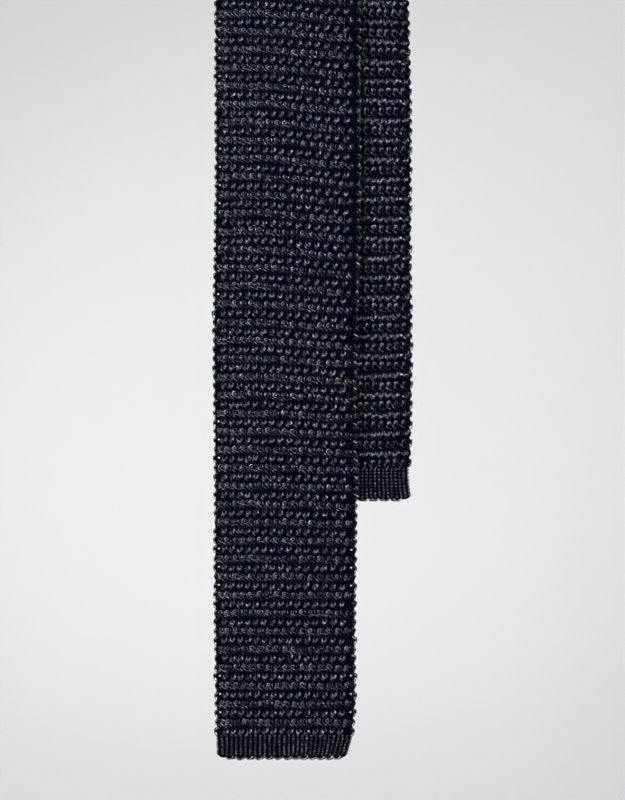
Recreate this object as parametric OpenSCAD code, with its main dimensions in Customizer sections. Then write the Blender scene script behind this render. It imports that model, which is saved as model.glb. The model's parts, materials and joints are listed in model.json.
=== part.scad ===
// Knitted silk necktie with square ends, hanging folded once over a round bar.
//
// +Z is up and +Y runs from the front leg to the tail leg. The origin is on the bar's axis, at
// the middle of the fold; the bar is not part of the tie. "Depth" is the distance below that
// axis. The knitting is a flattened tube whose seam lies on the inner face of the fold, so each
// leg's back faces the other leg. Every shape of a leg is drawn for the front and mirrored in Y
// for the tail.

/* [Tie] */
// Length along the tie, from hem to hem
tie_len = 1450; // [1200:10:1750]
// Width of the front blade
blade_w = 60; // [56:1:80]
// Width of the tail
tail_w = 53; // [40:1:54]
// Width of the neck
neck_w = 28; // [20:1:38]
// Depth at which both legs begin to widen
taper_top = 230; // [100:10:280]
// Depth at which both legs have their full width
taper_end = 330; // [290:10:400]

/* [Hang] */
// Radius of the bar that the fold fits
bar_r = 5; // [4:0.5:15]
// Depth of the front end
front_drop = 769; // [740:1:800]
// Sideways place of the front blade
front_shift = -12.5; // [-14:0.5:0]
// Sideways place of the tail
tail_shift = 14.2; // [0:0.2:15]
// Depth at which the front leg has run across to its place
front_run = 412; // [300:1:480]
// Depth at which the tail has run across to its place
tail_run = 500; // [300:1:510]

/* [Knitting] */
// Thickness of one wall of the bump-knit tube
wall = 1.3; // [0.8:0.1:2]
// Space left inside the flattened tube
hollow = 0.6; // [0.3:0.1:1.5]
// Width of the thread line that closes the tube
seam_w = 0.8; // [0.5:0.1:2]

/* [Hems] */
// Height of the plain-knit band at the front end
front_hem_h = 10.2; // [6:0.2:20]
// Height of the plain-knit band at the tail end
tail_hem_h = 14.2; // [6:0.2:24]
// How far the front band's sides stand in from the blade's
front_hem_inset = 2.2; // [0:0.1:5]
// How far the tail band's sides stand in from the tail's
tail_hem_inset = 0.8; // [0:0.1:5]
// Thickness of one outer layer of a band
band_wall = 0.65; // [0.4:0.05:1]
// Thickness of one turned-up inner layer
facing_wall = 0.5; // [0.3:0.05:0.8]
// Space between the two inner layers
facing_gap = 0.1; // [0.1:0.05:0.5]
// Pitch of the scallops along the lower edge
scallop_pitch = 3.9; // [2:0.1:6]
// Height of the scallops
scallop_h = 0.6; // [0.2:0.1:1.5]
// Pitch of the slip stitches over the facing's edge
hem_stitch_pitch = 5; // [3:0.5:10]

/* [Keeper loop] */
// Distance from the front end up to the middle of the loop
keeper_up = 184; // [150:1:190]
// Height of the loop's band
keeper_h = 14; // [8:1:20]
// Thickness of the loop's band
keeper_t = 0.9; // [0.5:0.1:1.5]
// Room for the tail between the loop and the blade
keeper_gap = 4.6; // [4.2:0.1:6]
// How much wider the loop's opening is than the tail
keeper_play = 1.5; // [0.5:0.1:2]
// Width of the loop's sewn feet
keeper_foot = 1.5; // [1:0.1:2]

/* [Labels] */
// Width of the blank woven label
maker_w = 42; // [30:1:50]
// Height of the blank woven label
maker_h = 18; // [12:1:25]
// Thickness of the blank woven label
maker_t = 0.45; // [0.3:0.05:0.8]
// Space between the loop and the woven label
maker_drop = 13; // [4:1:20]
// Width of the satin care label
care_w = 22; // [15:1:24]
// Length of the care label's loose flap
care_len = 32; // [20:1:40]
// Height of the care label's sewn heading
care_head = 3; // [2:0.5:6]
// Thickness of the care label
care_t = 0.3; // [0.2:0.05:0.5]
// Sideways distance from the blade's middle to the care label's near edge
care_side = 3.5; // [2:0.5:5]
// Space between the woven label and the care label
care_drop = 20; // [15:1:30]

/* [Folds] */
// Depth of the straight stretch that stays with the fold
neck_straight = 12; // [8:1:40]
// Distance from the front end up to the hinge line across its leg
front_fold = 224; // [200:1:400]
// Distance from the tail end up to the hinge line across its leg
tail_fold = 140.3; // [60:0.1:300]
// Gap between two stretches of knitting at a hinge line
fold_gap = 0.3; // [0.2:0.1:1]
// Clearance between the care label's flap and the blade
flap_gap = 0.5; // [0.3:0.1:1]

/* [Hidden] */

tube_t = 2 * wall + hollow;
hem_t = 2 * (band_wall + facing_wall) + facing_gap;
arc_len = PI * (bar_r + tube_t / 2);
tail_drop = tie_len - front_drop - arc_len;
front_hinge = front_drop - front_fold;
tail_hinge = tail_drop - tail_fold;
face_y = -bar_r - tube_t;     // the front leg's outer face
back_y = -bar_r;              // the front leg's back, towards the tail
mid_y = -bar_r - tube_t / 2;  // the plane halfway through the front leg
outline_step = 20;            // depth between two points of a leg's outline
over = 1;                     // how far a cut runs past what it cuts
stitch_t = 0.25;              // how far a stitch stands on a surface
stitch_h = 0.5;
tack_w = 5;
tack_h = 1.4;
tack_t = 0.5;

// A leg: sideways place, the depth by which it is reached, full width, lower end of the bump
// knit, lower end of the leg, and how far its band's sides stand in.
FRONT = [front_shift, front_run, blade_w, front_drop - front_hem_h, front_drop, front_hem_inset];
TAIL = [tail_shift, tail_run, tail_w, tail_drop - tail_hem_h, tail_drop, tail_hem_inset];
SHIFT = 0;
RUN = 1;
WIDTH = 2;
KNIT_END = 3;
END = 4;
HEM_INSET = 5;

keeper_w = tail_w + keeper_play;
keeper_mid = front_drop - keeper_up;
keeper_low = keeper_mid + keeper_h / 2;
maker_top = keeper_low + maker_drop;
care_top = maker_top + maker_h + care_drop;
care_fold = care_top + care_head;
care_mid = front_shift - care_side - care_w / 2;

ink = "#20232f";
ink_plain = "#2a2d3a";
thread = "#3a3e4c";
woven = "#14161e";
satin = "#e8e6e0";

function smooth(u) = let (c = min(1, max(0, u))) c * c * (3 - 2 * c);

function centre_x(leg, depth) =
    leg[SHIFT] * smooth((depth - neck_straight) / (leg[RUN] - neck_straight));

function half_width(leg, depth) =
    (neck_w + (leg[WIDTH] - neck_w) * smooth((depth - taper_top) / (taper_end - taper_top))) / 2;

// The depths at which an outline from top to end has its points.
function depths(top, end) =
    let (first = ceil(top / outline_step) * outline_step)
    concat([top], [for (d = first; d < end; d = d + outline_step) if (d > top) d], [end]);

// A ribbon along the leg's centre line, from the half-widths at its points. A cut's two ends run
// straight past what it cuts, so that its sides are still the sides of what fills it.
function ribbon(leg, ds, halves, past) =
    let (last = len(ds) - 1,
        xs = [for (d = ds) centre_x(leg, d)],
        zs = [for (i = [0:last]) -ds[i] + (i == 0 ? past : i == last ? -past : 0)])
    concat(
        [for (i = [0:last]) [xs[i] - halves[i], zs[i]]],
        [for (i = [last:-1:0]) [xs[i] + halves[i], zs[i]]]);

// The leg's full width less an inset on both sides.
function leg_outline(leg, top, end, inset, past = 0) =
    let (ds = depths(top, end))
    ribbon(leg, ds, [for (d = ds) half_width(leg, d) - inset], past);

// The seam's line.
function seam_outline(leg, top, end, past = 0) =
    let (ds = depths(top, end))
    ribbon(leg, ds, [for (d = ds) seam_w / 2], past);

// A band's outline: straight sides and a scalloped lower edge.
function hem_outline(leg, inset, top, low_trim) =
    let (half = leg[WIDTH] / 2 - leg[HEM_INSET] - inset,
        mid = centre_x(leg, leg[END]),
        count = max(2, round(2 * half / scallop_pitch)),
        parts = 6)
    concat(
        [[mid - half, -top]],
        [for (i = [0:count * parts])
            [mid - half + 2 * half * i / (count * parts),
                -leg[END] + low_trim + scallop_h * (1 - abs(sin(180 * i / parts)))]],
        [[mid + half, -top]]);

// Stands an outline drawn in X and Z up between two places in Y.
module stand(y_low, y_high) {
    translate([0, y_high, 0])
        rotate([90, 0, 0])
            linear_extrude(y_high - y_low)
                children();
}

module as_leg(leg) {
    if (leg == TAIL)
        mirror([0, 1, 0]) children();
    else
        children();
}

module knit_tube(leg, top, end) {
    difference() {
        stand(face_y, back_y)
            polygon(leg_outline(leg, top, end, 0));
        stand(face_y + wall, back_y - wall)
            polygon(leg_outline(leg, top, end, wall, over));
        stand(mid_y, back_y + over)
            polygon(seam_outline(leg, top, end, over));
    }
}

module leg_seam(leg, top, end) {
    stand(back_y - wall, back_y)
        polygon(seam_outline(leg, top, end));
}

// Turns a section, drawn as distance from the bar's axis and place along it, over the bar.
module over_bar() {
    rotate([0, 90, 0])
        rotate([0, 0, 90])
            rotate_extrude(angle = 180, $fn = 96)
                children();
}

module section(r_low, r_high, width) {
    translate([r_low, -width / 2])
        square([r_high - r_low, width]);
}

module hem_band(leg) {
    top = leg[KNIT_END];
    difference() {
        stand(mid_y - hem_t / 2, mid_y + hem_t / 2)
            polygon(hem_outline(leg, 0, top, 0));
        stand(mid_y - hem_t / 2 + band_wall, mid_y + hem_t / 2 - band_wall)
            polygon(hem_outline(leg, band_wall, top - over, -over));
    }
}

module hem_facing(leg) {
    half_t = hem_t / 2 - band_wall;
    top = leg[KNIT_END] + stitch_h;
    difference() {
        stand(mid_y - half_t, mid_y + half_t)
            polygon(hem_outline(leg, band_wall, top, 0));
        stand(mid_y - facing_gap / 2, mid_y + facing_gap / 2)
            polygon(hem_outline(leg, band_wall + facing_wall, top - over, -over));
    }
}

// Slip stitches that lie over the facing's upper edge, from one outer layer to the other.
module hem_stitches(leg) {
    reach = leg[WIDTH] / 2 - leg[HEM_INSET] - band_wall - hem_stitch_pitch / 2;
    count = floor(2 * reach / hem_stitch_pitch);
    depth = hem_t - 2 * band_wall;
    for (i = [0:count])
        translate([centre_x(leg, leg[END]) + (i - count / 2) * hem_stitch_pitch, mid_y,
                -leg[KNIT_END] - stitch_h / 2])
            cube([hem_stitch_pitch / 4, depth, stitch_h], center = true);
}

// A thick bar of thread across the end of the seam.
module bar_tack(leg) {
    depth = leg[KNIT_END] - 2 * tack_h;
    translate([centre_x(leg, depth), back_y + tack_t / 2, -depth])
        cube([tack_w, tack_t, tack_h], center = true);
}

// A row of stitches down a leg's back, standing on a surface.
module stitch_column(x, y, top, end, width, count) {
    pitch = (end - top) / count;
    for (i = [0:count - 1])
        translate([x - width / 2, y, -top - (i + 0.5) * pitch - stitch_h / 2])
            cube([width, stitch_t, stitch_h]);
}

module neck_band() color(ink) {
    over_bar()
        difference() {
            section(bar_r, bar_r + tube_t, neck_w);
            section(bar_r + wall, bar_r + wall + hollow, neck_w - 2 * wall);
            section(bar_r - over, bar_r + tube_t / 2, seam_w);
        }
    for (leg = [FRONT, TAIL])
        as_leg(leg)
            knit_tube(leg, 0, neck_straight);
}

module neck_seam() color(thread) {
    over_bar()
        section(bar_r, bar_r + wall, seam_w);
    for (leg = [FRONT, TAIL])
        as_leg(leg)
            leg_seam(leg, 0, neck_straight);
}

module front_upper() color(ink)
    knit_tube(FRONT, neck_straight + fold_gap, front_hinge - fold_gap / 2);

module front_upper_seam() color(thread)
    leg_seam(FRONT, neck_straight + fold_gap, front_hinge - fold_gap / 2);

module front_blade() color(ink)
    knit_tube(FRONT, front_hinge + fold_gap / 2, FRONT[KNIT_END]);

module front_blade_seam() color(thread)
    leg_seam(FRONT, front_hinge + fold_gap / 2, FRONT[KNIT_END]);

module front_bar_tack() color(thread)
    bar_tack(FRONT);

module front_hem_band() color(ink_plain)
    hem_band(FRONT);

module front_hem_facing() color(ink_plain)
    hem_facing(FRONT);

module front_hem_stitches() color(thread)
    hem_stitches(FRONT);

// A narrow band that stands off the blade's back and is sewn down by a foot at each side.
module keeper_loop() color(ink_plain)
    translate([front_shift, back_y, -keeper_low])
        linear_extrude(keeper_h)
            difference() {
                union() {
                    translate([-keeper_w / 2 - keeper_t, 0])
                        square([keeper_w + 2 * keeper_t, keeper_gap + keeper_t]);
                    translate([-keeper_w / 2 - keeper_t - keeper_foot, 0])
                        square([keeper_w + 2 * (keeper_t + keeper_foot), keeper_t]);
                }
                translate([-keeper_w / 2, -over])
                    square([keeper_w, keeper_gap + over]);
            }

module keeper_stitches() color(thread) {
    out = keeper_w / 2 + keeper_t + keeper_foot / 2;
    for (side = [-1, 1])
        stitch_column(front_shift + side * out, back_y + keeper_t,
            keeper_low - keeper_h, keeper_low, keeper_foot, 7);
}

module maker_label() color(woven)
    translate([front_shift - maker_w / 2, back_y, -maker_top - maker_h])
        cube([maker_w, maker_t, maker_h]);

module maker_label_stitches() color(thread)
    for (side = [-1, 1])
        stitch_column(front_shift + side * (maker_w / 2 - 1.5), back_y + maker_t,
            maker_top, maker_top + maker_h, 1.6, 9);

module care_label_heading() color(satin)
    translate([care_mid - care_w / 2, back_y, -care_fold])
        cube([care_w, care_t, care_head]);

module care_label_stitches() color(thread) {
    count = 8;
    pitch = care_w / count;
    for (i = [0:count - 1])
        translate([care_mid - care_w / 2 + (i + 0.5) * pitch, back_y + care_t + stitch_t / 2,
                -care_top - care_head / 2])
            cube([pitch * 0.6, stitch_t, stitch_h], center = true);
}

module care_label() color(satin)
    translate([care_mid - care_w / 2, back_y + flap_gap, -care_fold - fold_gap - care_len])
        cube([care_w, care_t, care_len]);

module tail_upper() color(ink)
    as_leg(TAIL)
        knit_tube(TAIL, neck_straight + fold_gap, tail_hinge - fold_gap / 2);

module tail_upper_seam() color(thread)
    as_leg(TAIL)
        leg_seam(TAIL, neck_straight + fold_gap, tail_hinge - fold_gap / 2);

module tail_blade() color(ink)
    as_leg(TAIL)
        knit_tube(TAIL, tail_hinge + fold_gap / 2, TAIL[KNIT_END]);

module tail_blade_seam() color(thread)
    as_leg(TAIL)
        leg_seam(TAIL, tail_hinge + fold_gap / 2, TAIL[KNIT_END]);

module tail_bar_tack() color(thread)
    as_leg(TAIL)
        bar_tack(TAIL);

module tail_hem_band() color(ink_plain)
    as_leg(TAIL)
        hem_band(TAIL);

module tail_hem_facing() color(ink_plain)
    as_leg(TAIL)
        hem_facing(TAIL);

module tail_hem_stitches() color(thread)
    as_leg(TAIL)
        hem_stitches(TAIL);

neck_band();
neck_seam();
front_upper();
front_upper_seam();
front_blade();
front_blade_seam();
front_bar_tack();
front_hem_band();
front_hem_facing();
front_hem_stitches();
keeper_loop();
keeper_stitches();
maker_label();
maker_label_stitches();
care_label_heading();
care_label_stitches();
care_label();
tail_upper();
tail_upper_seam();
tail_blade();
tail_blade_seam();
tail_bar_tack();
tail_hem_band();
tail_hem_facing();
tail_hem_stitches();
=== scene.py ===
# %% [markdown]
# # A knitted silk necktie
#
# The tie hangs folded over a bar, its front blade before its narrower tail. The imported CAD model
# is the frame: it gives the size and the moving bodies. Everything that shows is made here, as
# yarn: a real knitted tie is nothing but loops, and light finds every one of them.

import json
import math
from types import SimpleNamespace

import bpy
import numpy as np
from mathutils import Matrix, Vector


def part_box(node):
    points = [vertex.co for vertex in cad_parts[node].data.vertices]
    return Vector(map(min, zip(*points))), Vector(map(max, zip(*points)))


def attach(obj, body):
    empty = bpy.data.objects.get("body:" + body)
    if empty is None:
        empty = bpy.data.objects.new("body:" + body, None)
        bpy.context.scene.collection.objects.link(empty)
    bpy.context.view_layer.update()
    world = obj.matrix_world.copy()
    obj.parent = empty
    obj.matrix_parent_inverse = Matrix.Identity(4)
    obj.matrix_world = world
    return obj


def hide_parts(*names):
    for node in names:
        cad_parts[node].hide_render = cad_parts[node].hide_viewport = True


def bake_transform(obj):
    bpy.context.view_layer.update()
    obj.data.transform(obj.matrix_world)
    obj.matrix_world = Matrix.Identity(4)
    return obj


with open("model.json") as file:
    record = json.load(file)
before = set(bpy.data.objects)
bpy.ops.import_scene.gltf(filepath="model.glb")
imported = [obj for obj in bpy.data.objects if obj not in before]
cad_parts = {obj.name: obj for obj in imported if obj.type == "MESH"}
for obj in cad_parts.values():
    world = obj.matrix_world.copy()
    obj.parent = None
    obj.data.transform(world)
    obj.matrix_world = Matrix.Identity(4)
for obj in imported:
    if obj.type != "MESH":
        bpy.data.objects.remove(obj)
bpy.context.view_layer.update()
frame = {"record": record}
MM = 0.001
X_WAY = np.array([1.0, 0, 0])

# %% [markdown]
# ## The tie's own sizes
#
# The widths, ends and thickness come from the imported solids, so the yarn lies where they are. The
# legs run across to their places on a smooth curve, as the solids do, and widen below the neck.
# A knitted edge wanders a little, and the courses of the front sag towards one side, where the
# knitting is slacker. The solids leave that out.

# %% Sizes
BAR_R = frame["record"]["mounts"][0]["dims"]["r_mm"] * MM
NECK_LOW, NECK_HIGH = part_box("neck_band")
TUBE_T = NECK_HIGH.z - BAR_R
FOLD_R = BAR_R + TUBE_T / 2
QUARTER = FOLD_R * math.pi / 2
NECK_HALF = (NECK_HIGH.x - NECK_LOW.x) / 2
NECK_STRAIGHT = -NECK_LOW.z
# Between these depths the leg widens from the neck to the blade.
TAPER_TOP = 0.230
TAPER_END = 0.330


def read_leg(name, side, run, row, column):
    low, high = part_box(f"{name}_blade")
    hem_low, hem_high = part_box(f"{name}_hem_band")
    knit_end = -low.z
    rows = round((knit_end + QUARTER) / row)
    return SimpleNamespace(
        name=name,
        side=side,
        shift=(low.x + high.x) / 2,
        half=(high.x - low.x) / 2,
        knit_end=knit_end,
        end=-hem_low.z,
        hem_half=(hem_high.x - hem_low.x) / 2,
        fold=-high.z,
        run=run,
        rows=rows,
        row=(knit_end + QUARTER) / rows,
        column=column,
    )


front = read_leg("front", side=-1, run=0.412, row=3.85 * MM, column=3.56 * MM)
tail = read_leg("tail", side=1, run=0.500, row=4.22 * MM, column=3.15 * MM)
LEGS = (front, tail)
print(f"front ends {front.end:.3f} m down, tail {tail.end:.3f} m; fold radius {FOLD_R:.4f} m")


# %% Curves that the legs follow
def smooth(u):
    c = np.clip(u, 0, 1)
    return c * c * (3 - 2 * c)


def centre_x(leg, depth):
    return leg.shift * smooth((depth - NECK_STRAIGHT) / (leg.run - NECK_STRAIGHT))


def half_width(leg, depth):
    widen = smooth((depth - TAPER_TOP) / (TAPER_END - TAPER_TOP))
    return NECK_HALF + (leg.half - NECK_HALF) * widen


def waver(leg, depth):
    """How far the knitting wanders sideways at a depth."""
    calm = smooth(depth / 0.1)
    slow = np.sin(depth / 0.047 + 2 * leg.side)
    quick = np.sin(depth / 0.019 + leg.side)
    return calm * (0.35 * slow + 0.2 * quick) * MM


def droop(leg, u, depth):
    """How far a course sags towards the right, more so high up than near the hem."""
    if leg is tail:
        return 0.5 * MM * np.sin(u / 0.012 + depth / 0.08)
    share = smooth((u + 0.014) / 0.046)
    return 3.4 * MM * share * (1 - smooth((depth - 0.54) / 0.19))


def leg_frame(leg, v):
    """At distance v down the tie from the top of the fold: centre, way down, way out."""
    t = np.minimum(v / FOLD_R, math.pi / 2)
    depth = np.maximum(v - QUARTER, 0)
    zero = np.zeros_like(t)
    x = centre_x(leg, depth) + waver(leg, depth)
    y = leg.side * FOLD_R * np.sin(t)
    z = FOLD_R * np.cos(t) - depth
    down = np.stack([zero, leg.side * np.cos(t), -np.sin(t)], -1)
    out = np.stack([zero, leg.side * np.sin(t), np.cos(t)], -1)
    return np.stack([x, y, z], -1), down, out


# %% [markdown]
# ## Camera and room
#
# A tie is shown square on with a long lens, so both legs keep their true widths. The room is a
# pale bowl: its floor curves up into its wall, so no edge shows behind the tie from any side. It
# is modelled as a disc whose rim is extruded up and outwards in steps. Spot lamps brighten the
# wall behind the tie a little, as a studio paper has a soft glow in its middle. Black silk is lit
# the studio way: lamps glint in it, and dark flags keep the pale room out of its shine. Here the
# sky is dim for gloss, and the bowl doesn't show in reflections.

# %% Camera
VIEW_HEIGHT = 0.338
VIEW_CENTRE = Vector((-0.0009, 0, -0.6171))
LENS = 100


def deselect():
    if bpy.context.object and bpy.context.object.mode != "OBJECT":
        bpy.ops.object.mode_set(mode="OBJECT")
    bpy.ops.object.select_all(action="DESELECT")


deselect()
bpy.ops.object.camera_add()
camera = bpy.context.object
camera.name = "camera"
camera.data.lens = LENS
camera.data.sensor_width = 36
distance = VIEW_HEIGHT * LENS / 36
camera.location = (VIEW_CENTRE.x, -FOLD_R - TUBE_T / 2 - distance, VIEW_CENTRE.z)
camera.rotation_euler = (math.pi / 2, 0, 0)
camera.data.clip_end = 30
bpy.context.scene.camera = camera
bpy.context.scene.view_settings.view_transform = "Standard"
print(f"camera {distance:.3f} m from the blade")

# %% Bowl
FLOOR_Z = -1.62
BOWL_R = 5.0
BEND_R = 1.6
WALL_TOP = 1.5
BEND_STEPS = 12

deselect()
bpy.ops.mesh.primitive_circle_add(
    vertices=96, radius=BOWL_R - BEND_R, fill_type="TRIFAN", location=(0, 0, FLOOR_Z)
)
bowl = bpy.context.object
bowl.name = "bowl"
bpy.ops.object.mode_set(mode="EDIT")
bpy.ops.mesh.select_all(action="DESELECT")
bpy.ops.mesh.select_mode(type="EDGE")
bpy.ops.mesh.select_non_manifold()
for i in range(BEND_STEPS):
    low, high = i / BEND_STEPS * math.pi / 2, (i + 1) / BEND_STEPS * math.pi / 2
    r0 = BOWL_R - BEND_R + BEND_R * math.sin(low)
    r1 = BOWL_R - BEND_R + BEND_R * math.sin(high)
    rise = BEND_R * (math.cos(low) - math.cos(high))
    bpy.ops.mesh.extrude_edges_move(TRANSFORM_OT_translate={"value": (0, 0, rise)})
    bpy.ops.transform.resize(value=(r1 / r0, r1 / r0, 1), center_override=(0, 0, 0))
wall_height = WALL_TOP - FLOOR_Z - BEND_R
bpy.ops.mesh.extrude_edges_move(TRANSFORM_OT_translate={"value": (0, 0, wall_height)})
bpy.ops.mesh.select_all(action="SELECT")
bpy.ops.mesh.normals_make_consistent(inside=True)
bpy.ops.object.mode_set(mode="OBJECT")
bpy.ops.object.shade_smooth()
bpy.ops.object.transform_apply(location=True, rotation=True, scale=True)

# %% Lamps
# name, kind, place, aim, size in metres or cone in degrees, watts
LAMPS = [
    ("key", "AREA", (-0.42, -1.60, 0.05), (0, 0, -0.5), 0.45, 17),
    ("fill", "AREA", (0.72, -1.40, -0.30), (0, 0, -0.5), 0.35, 9),
    ("back_key", "AREA", (0.70, 1.00, 1.90), (0, 0, -0.5), 0.45, 18),
    ("back_fill", "AREA", (-0.90, 0.80, 1.50), (0, 0, -0.5), 0.35, 9),
    ("glow", "SPOT", (-1.3, 2.2, -0.4), (0.05, 5, -0.62), 54, 70),
    ("back_glow", "SPOT", (1.3, -2.2, -0.4), (-0.05, -5, -0.62), 54, 70),
]
for name, kind, place, aim, size, watts in LAMPS:
    deselect()
    bpy.ops.object.light_add(type=kind, location=place)
    lamp = bpy.context.object
    lamp.name = name
    lamp.data.energy = watts
    lamp.data.color = (0.98, 0.975, 1.0)
    if kind == "AREA":
        lamp.data.shape = "DISK"
        lamp.data.size = size
        lamp.data.spread = math.radians(75)
    else:
        lamp.data.spot_size = math.radians(size)
        lamp.data.spot_blend = 1.0
        lamp.data.shadow_soft_size = 0.3
    lamp.visible_camera = False
    way = Vector(aim) - Vector(place)
    lamp.rotation_euler = way.to_track_quat("-Z", "Y").to_euler()

# %% Sky
SKY = 0.73
SKY_IN_GLOSS = 0.06
world = bpy.data.worlds.new("sky")
bpy.context.scene.world = world
world.use_nodes = True
sky = world.node_tree.nodes["Background"]
sky.inputs["Color"].default_value = (0.985, 0.985, 1.0, 1)
path_kind = world.node_tree.nodes.new("ShaderNodeLightPath")
dim = world.node_tree.nodes.new("ShaderNodeMath")
dim.operation = "MULTIPLY_ADD"
dim.inputs[1].default_value = SKY_IN_GLOSS - SKY
dim.inputs[2].default_value = SKY
world.node_tree.links.new(path_kind.outputs["Is Glossy Ray"], dim.inputs[0])
world.node_tree.links.new(dim.outputs[0], sky.inputs["Strength"])
bowl.visible_glossy = False

# %% [markdown]
# ## Silk
#
# Silk yarn is plies twisted together, dyed nearly black, and smooth enough to flash white where
# it faces a lamp. The twist is a slanting stripe in the yarn's own coordinates: round it and
# along it. A finer noise breaks the stripe into filaments, and a slow noise changes the dye a
# little from loop to loop. Between its glints such silk is very dark, so its plain mirror share
# is small and the lamps are strong.


# %% Material helpers
def new_material(name, colour, roughness, specular):
    made = bpy.data.materials.new(name)
    made.use_nodes = True
    shader = made.node_tree.nodes["Principled BSDF"]
    shader.inputs["Base Color"].default_value = (*colour, 1)
    shader.inputs["Roughness"].default_value = roughness
    shader.inputs["Specular IOR Level"].default_value = specular
    return made, made.node_tree, shader


def math_node(tree, operation, *values):
    made = tree.nodes.new("ShaderNodeMath")
    made.operation = operation
    for socket, value in zip(made.inputs, values):
        if isinstance(value, (int, float)):
            socket.default_value = value
        else:
            tree.links.new(value, socket)
    return made.outputs[0]


def noise(tree, vector, scale, detail=2.0):
    made = tree.nodes.new("ShaderNodeTexNoise")
    made.inputs["Scale"].default_value = scale
    made.inputs["Detail"].default_value = detail
    tree.links.new(vector, made.inputs["Vector"])
    return made.outputs["Fac"]


def between(tree, factor, dark, light):
    ramp = tree.nodes.new("ShaderNodeValToRGB")
    ramp.color_ramp.elements[0].position = 0.3
    ramp.color_ramp.elements[0].color = (*dark, 1)
    ramp.color_ramp.elements[1].position = 0.7
    ramp.color_ramp.elements[1].color = (*light, 1)
    tree.links.new(factor, ramp.inputs["Fac"])
    return ramp.outputs["Color"]


def bump(tree, height, strength, distance):
    made = tree.nodes.new("ShaderNodeBump")
    made.inputs["Strength"].default_value = strength
    made.inputs["Distance"].default_value = distance
    tree.links.new(height, made.inputs["Height"])
    return made.outputs["Normal"]


def object_place(tree):
    return tree.nodes.new("ShaderNodeTexCoord").outputs["Object"]


def axes(tree, vector):
    split = tree.nodes.new("ShaderNodeSeparateXYZ")
    tree.links.new(vector, split.inputs["Vector"])
    return split.outputs


def wave(tree, value, pitch):
    return math_node(tree, "SINE", math_node(tree, "MULTIPLY", value, 2 * math.pi / pitch))


# %% Silk yarn
def silk(name, dark, light, turns, roughness, specular, twist):
    made, tree, shader = new_material(name, dark, roughness, specular)
    shader.inputs["Specular Tint"].default_value = (0.86, 0.89, 1.0, 1)
    uv = tree.nodes.new("ShaderNodeUVMap")
    uv.uv_map = "UVMap"
    round_it, along = axes(tree, uv.outputs["UV"])[:2]
    phase = math_node(tree, "MULTIPLY_ADD", along, turns, round_it)
    ply = wave(tree, phase, 1.0)
    where = object_place(tree)
    fibres = noise(tree, where, 4200, 1.0)
    relief = math_node(tree, "MULTIPLY_ADD", ply, 0.5, fibres)
    tree.links.new(bump(tree, relief, twist, 0.00014), shader.inputs["Normal"])
    dye = between(tree, noise(tree, where, 260, 3.0), dark, light)
    tree.links.new(dye, shader.inputs["Base Color"])
    rough = math_node(tree, "MULTIPLY_ADD", fibres, 0.2, roughness - 0.1)
    tree.links.new(rough, shader.inputs["Roughness"])
    return made


# name, dark and light dye, turns of the plies, roughness, mirror share, depth of the twist
SILKS = [
    ("silk_yarn", (0.0008, 0.0009, 0.0022), (0.0020, 0.0022, 0.0046), 5, 0.25, 0.78, 0.45),
    ("fine_silk_yarn", (0.0008, 0.0010, 0.0024), (0.0018, 0.0021, 0.0044), 3, 0.26, 0.70, 0.3),
    ("sewing_silk", (0.0030, 0.0036, 0.0070), (0.0060, 0.0072, 0.0120), 3, 0.38, 0.6, 0.5),
]
yarn_silk, fine_silk, thread_silk = [silk(*values) for values in SILKS]


# %% Ground cloth
def ground(name, dark, light, cell):
    """The close knitting under the loops: rows of small slanting strands."""
    made, tree, shader = new_material(name, dark, 0.9, 0.0)
    x, _, z = axes(tree, object_place(tree))
    slant = math_node(tree, "MULTIPLY_ADD", z, 0.8, x)
    strands = math_node(tree, "MULTIPLY", wave(tree, slant, cell), wave(tree, z, cell * 0.9))
    relief = math_node(tree, "ADD", strands, noise(tree, object_place(tree), 3000))
    tree.links.new(bump(tree, relief, 0.8, 0.0003), shader.inputs["Normal"])
    tree.links.new(between(tree, relief, dark, light), shader.inputs["Base Color"])
    return made


# Painted shade: the ground is the same silk as the loops, but its dye is darker than the yarn's and
# it has no shine, so the gaps between loops stay dark. It also covers the hem skins and the keeper
# band.
ground_silk = ground("ground_silk", (0.0002, 0.0002, 0.0009), (0.0007, 0.0008, 0.0022), 1.8 * MM)

# %% Paint of the bowl
pale_paint, tree, shader = new_material("pale_paint", (0.8, 0.8, 0.8), 0.9, 0.05)
cloud = noise(tree, object_place(tree), 0.8)
paint = between(tree, cloud, (0.79, 0.79, 0.788), (0.81, 0.81, 0.808))
tree.links.new(paint, shader.inputs["Base Color"])
bowl.data.materials.append(pale_paint)

# %% [markdown]
# ## One stitch of each kind
#
# A bump is a doubled loop that was held back for a row and then let go, so it stands up from the
# cloth: two strands come out together, turn round each other's bend, and go back in. A strand
# that slants across ties it to the next. A path with a round bevel gives a length of yarn its
# thickness, and turning it to a mesh keeps the round-and-along coordinates that the twist of the
# silk needs. Each kind of stitch is modelled once, with a few dozen faces, because the tie holds
# about nine thousand bumps.


# %% Yarn along points
def yarn(name, points, radius, sides=4):
    """A mesh tube through points given in millimetres: across, up and out of the cloth."""
    deselect()
    bpy.ops.curve.primitive_nurbs_path_add()
    path = bpy.context.object
    path.name = name
    curve = path.data
    spline = curve.splines[0]
    spline.points.add(len(points) - len(spline.points))
    for knot, p in zip(spline.points, points):
        knot.co = (p[0] * MM, p[1] * MM, p[2] * MM, 1)
    spline.order_u = 3
    spline.use_endpoint_u = True
    curve.resolution_u = 1
    curve.bevel_depth = radius * MM
    curve.bevel_resolution = (sides - 4) // 2
    bpy.ops.object.convert(target="MESH")
    return bpy.context.object


def join(name, parts):
    deselect()
    for part in parts:
        part.select_set(True)
    bpy.context.view_layer.objects.active = parts[0]
    bpy.ops.object.join()
    parts[0].name = name
    return parts[0]


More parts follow.
